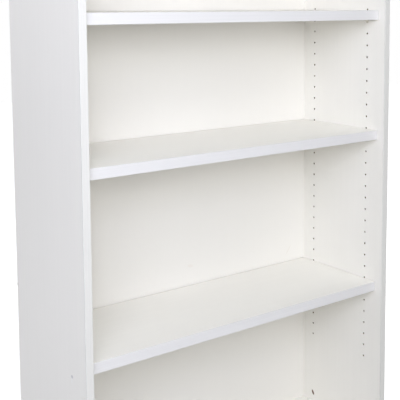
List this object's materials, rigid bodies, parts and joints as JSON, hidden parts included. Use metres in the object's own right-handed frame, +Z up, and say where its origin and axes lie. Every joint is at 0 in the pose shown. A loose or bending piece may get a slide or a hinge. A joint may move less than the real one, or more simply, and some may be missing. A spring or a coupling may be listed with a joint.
{
  "type": "bookcase with adjustable shelves",
  "caption": "Tall open bookcase in white melamine board; line-bored sides take plug-in supports that carry lift-off adjustable shelves, with an inset back and a plinth.",
  "frame": {"origin": "on the floor, under the middle of the carcass", "axes": "+Z up, front towards -Y, +X to the right seen from the front"},
  "size_m": [0.9, 0.34, 1.8],
  "materials": {
    "board": "white melamine face, fine satin",
    "edge_band": "white ABS edge band, satin",
    "back_board": "white lacquered hardboard, brown at the rear",
    "zinc_screw": "bright zinc plated",
    "zinc_casting": "die-cast zinc, matt",
    "dowel_beech": "turned beech, dry",
    "cover_plastic": "moulded white plastic",
    "glide_plastic": "moulded black plastic",
    "support_nickel": "nickel-plated zinc casting"
  },
  "bodies": {
    "carcass": {"side_left": "board", "side_right": "board", "side_band_left": "edge_band", "side_band_right": "edge_band", "top_board": "board", "top_band_front": "edge_band", "top_band_left": "edge_band", "top_band_right": "edge_band", "bottom_board": "board", "bottom_band": "edge_band", "plinth": "board", "back_panel": "back_board", "back_screws": "zinc_screw", "cams": "zinc_casting", "cam_bolts": "zinc_screw", "dowels": "dowel_beech", "cam_covers": "cover_plastic", "glides": "glide_plastic"},
    "shelf_1": {"shelf_1": "board", "shelf_band_1": "edge_band"},
    "shelf_2": {"shelf_2": "board", "shelf_band_2": "edge_band"},
    "shelf_3": {"shelf_3": "board", "shelf_band_3": "edge_band"},
    "shelf_4": {"shelf_4": "board", "shelf_band_4": "edge_band"},
    "support_1_left_front": {"support_1_left_front": "support_nickel"},
    "support_1_left_rear": {"support_1_left_rear": "support_nickel"},
    "support_1_right_front": {"support_1_right_front": "support_nickel"},
    "support_1_right_rear": {"support_1_right_rear": "support_nickel"},
    "support_2_left_front": {"support_2_left_front": "support_nickel"},
    "support_2_left_rear": {"support_2_left_rear": "support_nickel"},
    "support_2_right_front": {"support_2_right_front": "support_nickel"},
    "support_2_right_rear": {"support_2_right_rear": "support_nickel"},
    "support_3_left_front": {"support_3_left_front": "support_nickel"},
    "support_3_left_rear": {"support_3_left_rear": "support_nickel"},
    "support_3_right_front": {"support_3_right_front": "support_nickel"},
    "support_3_right_rear": {"support_3_right_rear": "support_nickel"},
    "support_4_left_front": {"support_4_left_front": "support_nickel"},
    "support_4_left_rear": {"support_4_left_rear": "support_nickel"},
    "support_4_right_front": {"support_4_right_front": "support_nickel"},
    "support_4_right_rear": {"support_4_right_rear": "support_nickel"}
  },
  "joints": [
    {"name": "shelf_1_lift", "type": "slide", "parent": "carcass", "child": "shelf_1", "axis": [0, 0, 1], "range_m": [0, 0.38]},
    {"name": "shelf_2_lift", "type": "slide", "parent": "carcass", "child": "shelf_2", "axis": [0, 0, 1], "range_m": [0, 0.284]},
    {"name": "shelf_3_lift", "type": "slide", "parent": "carcass", "child": "shelf_3", "axis": [0, 0, 1], "range_m": [0, 0.22]},
    {"name": "shelf_4_lift", "type": "slide", "parent": "carcass", "child": "shelf_4", "axis": [0, 0, 1], "range_m": [0, 0.241]},
    {"name": "support_1_left_front_pull", "type": "slide", "parent": "carcass", "child": "support_1_left_front", "axis": [1, 0, 0], "range_m": [0, 0.0095]},
    {"name": "support_1_left_rear_pull", "type": "slide", "parent": "carcass", "child": "support_1_left_rear", "axis": [1, 0, 0], "range_m": [0, 0.0095]},
    {"name": "support_1_right_front_pull", "type": "slide", "parent": "carcass", "child": "support_1_right_front", "axis": [-1, 0, 0], "range_m": [0, 0.0095]},
    {"name": "support_1_right_rear_pull", "type": "slide", "parent": "carcass", "child": "support_1_right_rear", "axis": [-1, 0, 0], "range_m": [0, 0.0095]},
    {"name": "support_2_left_front_pull", "type": "slide", "parent": "carcass", "child": "support_2_left_front", "axis": [1, 0, 0], "range_m": [0, 0.0095]},
    {"name": "support_2_left_rear_pull", "type": "slide", "parent": "carcass", "child": "support_2_left_rear", "axis": [1, 0, 0], "range_m": [0, 0.0095]},
    {"name": "support_2_right_front_pull", "type": "slide", "parent": "carcass", "child": "support_2_right_front", "axis": [-1, 0, 0], "range_m": [0, 0.0095]},
    {"name": "support_2_right_rear_pull", "type": "slide", "parent": "carcass", "child": "support_2_right_rear", "axis": [-1, 0, 0], "range_m": [0, 0.0095]},
    {"name": "support_3_left_front_pull", "type": "slide", "parent": "carcass", "child": "support_3_left_front", "axis": [1, 0, 0], "range_m": [0, 0.0095]},
    {"name": "support_3_left_rear_pull", "type": "slide", "parent": "carcass", "child": "support_3_left_rear", "axis": [1, 0, 0], "range_m": [0, 0.0095]},
    {"name": "support_3_right_front_pull", "type": "slide", "parent": "carcass", "child": "support_3_right_front", "axis": [-1, 0, 0], "range_m": [0, 0.0095]},
    {"name": "support_3_right_rear_pull", "type": "slide", "parent": "carcass", "child": "support_3_right_rear", "axis": [-1, 0, 0], "range_m": [0, 0.0095]},
    {"name": "support_4_left_front_pull", "type": "slide", "parent": "carcass", "child": "support_4_left_front", "axis": [1, 0, 0], "range_m": [0, 0.0095]},
    {"name": "support_4_left_rear_pull", "type": "slide", "parent": "carcass", "child": "support_4_left_rear", "axis": [1, 0, 0], "range_m": [0, 0.0095]},
    {"name": "support_4_right_front_pull", "type": "slide", "parent": "carcass", "child": "support_4_right_front", "axis": [-1, 0, 0], "range_m": [0, 0.0095]},
    {"name": "support_4_right_rear_pull", "type": "slide", "parent": "carcass", "child": "support_4_right_rear", "axis": [-1, 0, 0], "range_m": [0, 0.0095]}
  ]
}
